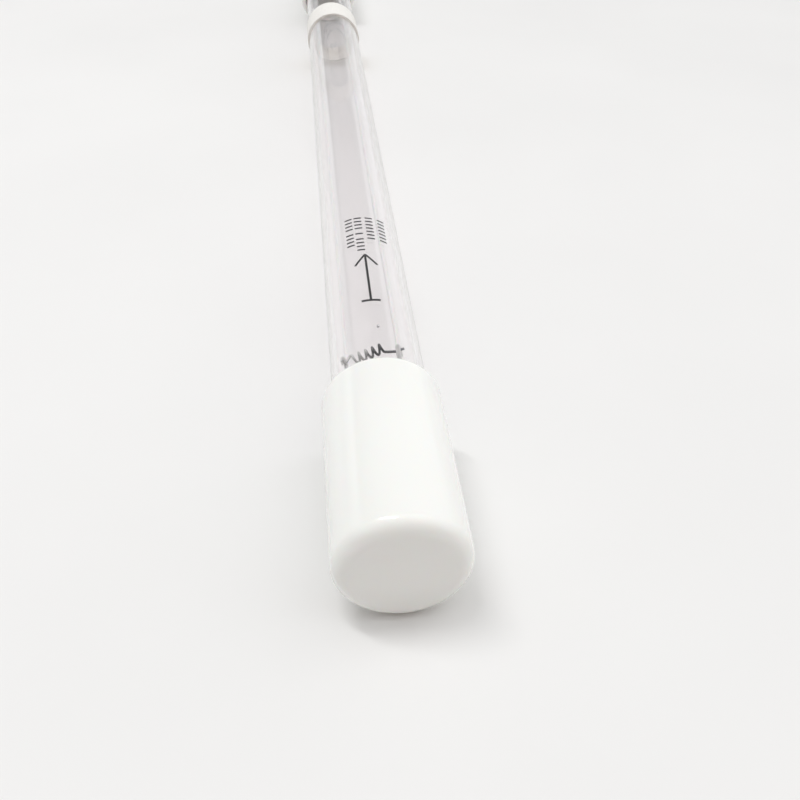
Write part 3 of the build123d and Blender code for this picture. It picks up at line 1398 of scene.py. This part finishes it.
@dataclass
class ReturnLeads:
    """The two white sleeves under the tube, which hold the return leads."""

    bore: float = 0.28 * MM
    edge_round: float = 0.06 * MM
    sides: int = 32

    def build(self, finish: Finish) -> None:
        """Make one sleeve, copy it to the other side and dress both.

        Args:
            finish: The sleeving.
        """
        low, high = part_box("wire_sleeve_left")
        radius = (high.x - low.x) / 2
        pattern = Workpiece.bar("sleeve_pattern", radius, (0, low.y, 0), high.y - low.y, self.sides)
        pattern.edit()
        pattern.pick(Element.FACES, lambda place, normal: abs(normal.y) > FACING)
        bpy.ops.mesh.inset(thickness=radius - self.bore, use_individual=True)
        bpy.ops.mesh.delete(type="FACE")
        pattern.pick(Element.EDGES, lambda place, along: abs(along.y) < ACROSS
                     and math.hypot(place.x, place.z) < self.bore + NEAR)
        bpy.ops.mesh.bridge_edge_loops()
        for y in (low.y, high.y):
            pattern.bevel_rim(y, radius, self.edge_round, steps=3)
        pattern.done()
        for side in Side:
            node = f"wire_sleeve_{side.name.lower()}"
            centre = middle_of(node)
            sleeve = pattern.copy(f"white_sleeve_{side.name.lower()}")
            sleeve.place(Matrix.Translation((centre.x, 0, centre.z)))
            sleeve.face_outwards()
            sleeve.settle(finish, node)
        bpy.data.objects.remove(pattern.thing)


@dataclass
class MercuryBead:
    """The small bead of mercury, settled on the inside of the tube."""

    layout: Layout
    radius: float = 0.3 * MM
    sag: float = 0.82
    spread: float = 1.06
    foot: float = 0.4
    crown: float = 0.2

    def build(self, finish: Finish) -> None:
        """Make the bead and dress it.

        Args:
            finish: The liquid metal.
        """
        centre = middle_of("mercury_drop")
        down = Vector((centre.x, 0, centre.z - self.layout.axis_z)).normalized()
        nothing_selected()
        bpy.ops.mesh.primitive_uv_sphere_add(segments=24, ring_count=14, radius=self.radius)
        bead = Workpiece("mercury_bead")
        bead.edit()
        bead.pick(Element.VERTS, lambda place, _: place.z < -self.foot * self.radius)
        bead.resize((self.spread, self.spread, self.sag), (0, 0, -self.radius))
        bead.pick(Element.VERTS, lambda place, _: place.z > self.crown * self.radius)
        bead.resize((1, 1, self.sag), (0, 0, 0))
        bead.done()
        turn = Vector((0, 0, -1)).rotation_difference(down).to_matrix().to_4x4()
        bead.place(Matrix.Translation(centre) @ turn)
        bead.settle(finish, "mercury_drop", crease=60.0)


@dataclass
class PrintedMarks:
    """Plain marks fired on the top of the tube: four rows of ticks and an arrow to the pins."""

    layout: Layout
    row_angles: tuple[float, ...] = (-18.5, -5.0, 11.0, 29.0)
    row_groups: tuple[tuple[int, ...], ...] = ((4, 4), (4, 1, 4), (7,), (7,))
    row_end: float = 78.6 * MM
    group_gap: float = 0.6
    tick_width: float = 0.42 * MM
    tick_height: float = 1.4 * MM
    tick_pitch: float = 1.27 * MM
    arrow_start: float = 50.6 * MM
    arrow_end: float = 65.2 * MM
    arrow_angle: float = -1.0
    barb_length: float = 3.4 * MM
    barb_spread: float = 15.0
    stroke: float = 0.4 * MM
    bar_spread: float = 12.0
    bar_width: float = 0.55 * MM
    chord: float = 0.5 * MM
    lift: float = 3.0 * MM
    film: float = 0.02 * MM

    def build(self, finish: Finish, envelope: Workpiece) -> None:
        """Lay the marks on the tube and dress them.

        Args:
            finish: The ink.
            envelope: The tube that they lie on.
        """
        strokes = self.ticks() + self.arrow()
        marks = strokes[0]
        marks.join(strokes[1:])
        marks.thing.name = "fired_marks"
        marks.modifier("SHRINKWRAP", target=envelope.thing, wrap_method="PROJECT", use_project_z=True,
                       use_negative_direction=True, use_positive_direction=False)
        marks.modifier("SOLIDIFY", thickness=self.film, offset=1.0)
        marks.settle(finish, crease=60.0)

    def spot(self, angle: float, depth: float) -> Vector:
        """Return a place above the tube.

        Args:
            angle: Its angle from straight up, in degrees.
            depth: Its distance from the plain cap's face.

        Returns:
            The place, well above the glass.
        """
        radius = self.layout.tube_radius
        z = self.layout.axis_z + radius + self.lift
        return Vector((radius * math.sin(math.radians(angle)), self.layout.cap_face + depth, z))

    def bar(self, start: Vector, end: Vector, width: float) -> Workpiece:
        """Make a flat stroke above the tube.

        Args:
            start: One end of its middle line.
            end: The other end.
            width: Its width.

        Returns:
            The stroke.
        """
        run = end - start
        nothing_selected()
        bpy.ops.mesh.primitive_plane_add(size=1)
        stroke = Workpiece("ink_stroke")
        stroke.edit()
        bpy.ops.mesh.select_all(action="SELECT")
        bpy.ops.mesh.subdivide(number_cuts=max(3, round(run.length / self.chord)))
        stroke.done()
        turn = Matrix.Rotation(math.atan2(run.y, run.x), 4, "Z")
        stroke.place(Matrix.Translation((start + end) / 2) @ turn
                     @ Matrix.Diagonal((run.length, width, 1, 1)))
        return stroke

    def ticks(self) -> list[Workpiece]:
        """Make the rows of ticks, in groups with a gap between.

        Returns:
            The ticks.
        """
        made: list[Workpiece] = []
        for angle, groups in zip(self.row_angles, self.row_groups):
            reach = Vector((self.tick_height / 2 * math.cos(math.radians(angle)), 0, 0))
            depth = self.row_end
            for count in groups:
                for _ in range(count):
                    middle = self.spot(angle, depth)
                    made.append(self.bar(middle - reach, middle + reach, self.tick_width))
                    depth -= self.tick_pitch
                depth -= self.tick_pitch * self.group_gap
        return made

    def arrow(self) -> list[Workpiece]:
        """Make the arrow: its shaft, two barbs, and a thick bar across its tail.

        Returns:
            Its strokes.
        """
        tip = self.spot(self.arrow_angle, self.arrow_end)
        made = [self.bar(self.spot(self.arrow_angle, self.arrow_start), tip, self.stroke)]
        tail = []
        for way in (-1, 1):
            barb = self.spot(self.arrow_angle + way * self.barb_spread, self.arrow_end - self.barb_length)
            made.append(self.bar(barb, tip, self.stroke))
            tail.append(self.spot(self.arrow_angle + way * self.bar_spread, self.arrow_start))
        made.append(self.bar(*tail, self.bar_width))
        return made


@dataclass
class KeptParts:
    """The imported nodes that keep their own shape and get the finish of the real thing."""

    finishes: Finishes

    def dress(self) -> None:
        """Give each kept node its finish."""
        sides = ("left", "right")
        by_finish = {
            self.finishes.cement: ["cap_cement", "base_cement"],
            self.finishes.molybdenum: [f"{end}_{part}_{side}" for end in ("cap", "base")
                                       for part in ("foil", "outer_lead") for side in sides],
            self.finishes.steel: [f"{part}_{side}" for part in ("return_wire", "lead_ferrule")
                                  for side in sides],
            self.finishes.tape: ["wire_band"],
        }
        for finish, nodes in by_finish.items():
            for node in nodes:
                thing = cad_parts[node]
                thing.data.materials.clear()
                thing.data.materials.append(finish.material())
            LOG.info("%s on %s", finish.name, ", ".join(nodes))


class Sky:
    """The room that the lamp lies in, as the node tree of the world."""

    tint_span = (0.25, 0.65)

    def __init__(self, name: str) -> None:
        """Start a world and take it into the scene.

        Args:
            name: The world's name.
        """
        self.world = bpy.data.worlds.new(name)
        bpy.context.scene.world = self.world
        self.world.use_nodes = True
        self.nodes = self.world.node_tree.nodes
        self.link = self.world.node_tree.links.new

    def directions(self) -> tuple[bpy.types.NodeSocket, ...]:
        """Return the X, Y and Z of the way that is looked."""
        place = self.nodes.new("ShaderNodeTexCoord")
        split = self.nodes.new("ShaderNodeSeparateXYZ")
        self.link(place.outputs["Generated"], split.inputs["Vector"])
        return tuple(split.outputs)

    def math(self, operation: str, *values: bpy.types.NodeSocket) -> bpy.types.NodeSocket:
        """Work out a value.

        Args:
            operation: The operation of a Math node.
            values: Its inputs.

        Returns:
            The result.
        """
        made = self.nodes.new("ShaderNodeMath")
        made.operation = operation
        for count, value in enumerate(values):
            self.link(value, made.inputs[count])
        return made.outputs["Value"]

    def fade(self, value: bpy.types.NodeSocket, start: float, end: float, low: float,
             high: float) -> bpy.types.NodeSocket:
        """Fade between two levels.

        Args:
            value: What the fade follows.
            start: Where it leaves the low level.
            end: Where it reaches the high level.
            low: The low level.
            high: The high level.

        Returns:
            The level.
        """
        made = self.nodes.new("ShaderNodeMapRange")
        made.interpolation_type = "SMOOTHSTEP"
        self.link(value, made.inputs["Value"])
        for name, level in (("From Min", start), ("From Max", end), ("To Min", low), ("To Max", high)):
            made.inputs[name].default_value = level
        return made.outputs["Result"]

    def steps(self, angle: bpy.types.NodeSocket,
              stops: Sequence[tuple[float, float]]) -> bpy.types.NodeSocket:
        """Follow a line of levels that are given at angles all round.

        Args:
            angle: The angle that is looked at, in radians.
            stops: Angles from -180 to 180 degrees, and their levels.

        Returns:
            The level.
        """
        share = self.nodes.new("ShaderNodeMapRange")
        self.link(angle, share.inputs["Value"])
        share.inputs["From Min"].default_value, share.inputs["From Max"].default_value = -math.pi, math.pi
        curve = self.nodes.new("ShaderNodeFloatCurve")
        self.link(share.outputs["Result"], curve.inputs["Value"])
        line = curve.mapping.curves[0]
        top = max(level for _, level in stops)
        places = [((degrees + 180) / 360, level / top) for degrees, level in stops]
        line.points[0].location, line.points[1].location = places[0], places[-1]
        for place in places[1:-1]:
            line.points.new(*place)
        for point in line.points:
            point.handle_type = "VECTOR"
        curve.mapping.update()
        scaled = self.nodes.new("ShaderNodeMath")
        scaled.operation = "MULTIPLY"
        self.link(curve.outputs["Value"], scaled.inputs[0])
        scaled.inputs[1].default_value = top
        return scaled.outputs["Value"]

    def mix(self, share: bpy.types.NodeSocket, first: bpy.types.NodeSocket,
            second: bpy.types.NodeSocket) -> bpy.types.NodeSocket:
        """Mix two levels.

        Args:
            share: How much of the second.
            first: The first level.
            second: The second level.

        Returns:
            The mixed level.
        """
        made = self.nodes.new("ShaderNodeMix")
        for value, slot in ((share, 0), (first, 2), (second, 3)):
            self.link(value, made.inputs[slot])
        return made.outputs[0]

    def show(self, level: bpy.types.NodeSocket, share: bpy.types.NodeSocket, warm: Colour,
             plain: Colour, backdrop: Colour) -> None:
        """Use a level as the world's light, before a plain backdrop.

        Args:
            level: Its strength.
            share: How much of the plain colour it has.
            warm: Its colour where the share is none.
            plain: Its colour where the share is full.
            backdrop: What is seen past the board.
        """
        tint = self.nodes.new("ShaderNodeValToRGB")
        self.link(share, tint.inputs["Fac"])
        for stop, place, colour in zip(tint.color_ramp.elements, self.tint_span, (warm, plain)):
            stop.position, stop.color = place, colour
        background = self.nodes["Background"]
        self.link(tint.outputs["Color"], background.inputs["Color"])
        self.link(level, background.inputs["Strength"])
        seen = self.nodes.new("ShaderNodeBackground")
        seen.inputs["Color"].default_value = backdrop
        either = self.nodes.new("ShaderNodeMixShader")
        rays = self.nodes.new("ShaderNodeLightPath")
        self.link(rays.outputs["Is Camera Ray"], either.inputs[0])
        self.link(background.outputs["Background"], either.inputs[1])
        self.link(seen.outputs["Background"], either.inputs[2])
        self.link(either.outputs["Shader"], self.nodes["World Output"].inputs["Surface"])


@dataclass
class Studio:
    """The pale board, the soft light and the camera."""

    layout: Layout
    board: float = 3.0
    board_edge: float = 0.02
    board_round: float = 4 * MM
    lens: float = 38.25
    sensor: float = 36.0
    stand: Point = (-7.49 * MM, -66.06 * MM, 93.68 * MM)
    pitch: float = 0.6998
    yaw: float = 0.1038
    roll: float = 0.0031
    wall_steps: tuple[tuple[float, float], ...] = ((-180, 0.6), (-90, 0.75), (-64, 1.0), (-60, 0.4),
                                                   (20, 0.45), (60, 0.8), (89, 1.0), (180, 0.6))
    room_steps: tuple[tuple[float, float], ...] = ((-180, 0.6), (-90, 0.45), (-40, 1.05), (30, 1.6),
                                                   (80, 1.05), (180, 0.6))
    ahead_fade: tuple[float, float] = (0.3, 0.5)
    behind_fade: tuple[float, float] = (-0.83, -0.01)
    behind: float = 0.16
    tint: Colour = (0.985, 0.995, 1.0, 1)
    warm_tint: Colour = (1.0, 0.8, 0.7, 1)
    backdrop: Colour = (0.78, 0.78, 0.77, 1)
    key_way: Point = (-0.27, 0.2, 0.92)
    key_distance: float = 1.0
    key_size: tuple[float, float] = (0.08, 0.5)
    key_power: float = 2.8

    def build(self, finish: Finish) -> None:
        """Set up the board, the light and the camera.

        Args:
            finish: The board's finish.
        """
        self.lay_board(finish)
        self.light_room()
        self.hang_lamp()
        self.set_camera()

    def lay_board(self, finish: Finish) -> None:
        """Lay the board under the lamp.

        Args:
            finish: Its finish.
        """
        board = Workpiece.block("studio_board", (0, 0, -self.board_edge / 2),
                                (self.board, self.board, self.board_edge))
        board.edit()
        board.pick(Element.EDGES, lambda place, along: place.z > -NEAR)
        board.bevel(self.board_round, 4)
        board.done()
        board.take()
        board.thing.data.materials.append(finish.material())

    def light_room(self) -> None:
        """Light the lamp from a soft room that is bright at the sides and dim behind the camera."""
        sky = Sky("soft_room")
        across, along, up = sky.directions()
        round_axis = sky.math("ARCTAN2", across, up)
        wall = sky.steps(round_axis, self.wall_steps)
        open_room = sky.steps(round_axis, self.room_steps)
        ahead = sky.fade(along, *self.ahead_fade, 0.0, 1.0)
        near_wall = sky.mix(ahead, open_room, wall)
        behind = sky.fade(along, *self.behind_fade, self.behind, 1.0)
        level = sky.math("MULTIPLY", near_wall, behind)
        sky.show(level, behind, self.warm_tint, self.tint, self.backdrop)

    def hang_lamp(self) -> None:
        """Hang one soft lamp almost overhead, a little to the left and ahead."""
        light = bpy.data.lights.new("soft_key", "AREA")
        light.shape = "RECTANGLE"
        light.size, light.size_y = self.key_size
        light.energy = self.key_power
        thing = bpy.data.objects.new("soft_key", light)
        bpy.context.scene.collection.objects.link(thing)
        aim = Vector((0, self.layout.cap_face, self.layout.axis_z))
        thing.location = aim + Vector(self.key_way).normalized() * self.key_distance
        thing.rotation_euler = (aim - thing.location).to_track_quat("-Z", "Y").to_euler()

    def set_camera(self) -> None:
        """Set the camera over the plain cap, looking along the tube."""
        camera = bpy.data.cameras.new("camera")
        camera.lens, camera.sensor_width = self.lens, self.sensor
        camera.clip_start = 1 * MM
        thing = bpy.data.objects.new("camera", camera)
        bpy.context.scene.collection.objects.link(thing)
        ahead = Vector((math.sin(self.yaw) * math.cos(self.pitch),
                        math.cos(self.yaw) * math.cos(self.pitch), -math.sin(self.pitch)))
        right = Vector((math.cos(self.yaw), -math.sin(self.yaw), 0))
        right = Matrix.Rotation(-self.roll, 3, ahead) @ right
        up = right.cross(ahead)
        place = Vector((0, self.layout.cap_face, 0)) + Vector(self.stand)
        basis = Matrix((right, up, -ahead)).transposed().to_4x4()
        thing.matrix_world = Matrix.Translation(place) @ basis
        bpy.context.scene.camera = thing


def main() -> None:
    """Build the lamp's looks and its studio."""
    logging.basicConfig(level=logging.INFO, format="%(name)s %(message)s")
    layout = Layout.from_frame()
    finishes = Finishes()
    scene = bpy.context.scene
    scene.view_settings.view_transform = "Standard"
    envelope = QuartzEnvelope(layout).build(finishes.glass)
    cap = CeramicEnd(layout, End.CAP, floor=3.0 * MM, face_round=2.4 * MM)
    cap.build(finishes.ceramic, "plain_cap")
    pins = [middle_of(node) for node in ContactPins.nodes()]
    base = CeramicEnd(layout, End.BASE, floor=4.0 * MM, face_round=1.6 * MM, pin_holes=pins)
    base.build(finishes.ceramic, "pin_base")
    ContactPins(layout).build(finishes.nickel)
    ElectrodeMounts(layout).build(finishes.steel, finishes.tungsten)
    ReturnLeads().build(finishes.sleeving)
    MercuryBead(layout).build(finishes.mercury)
    PrintedMarks(layout).build(finishes.ink, envelope)
    KeptParts(finishes).dress()
    Studio(layout).build(finishes.table)


if __name__ == "__main__":
    main()
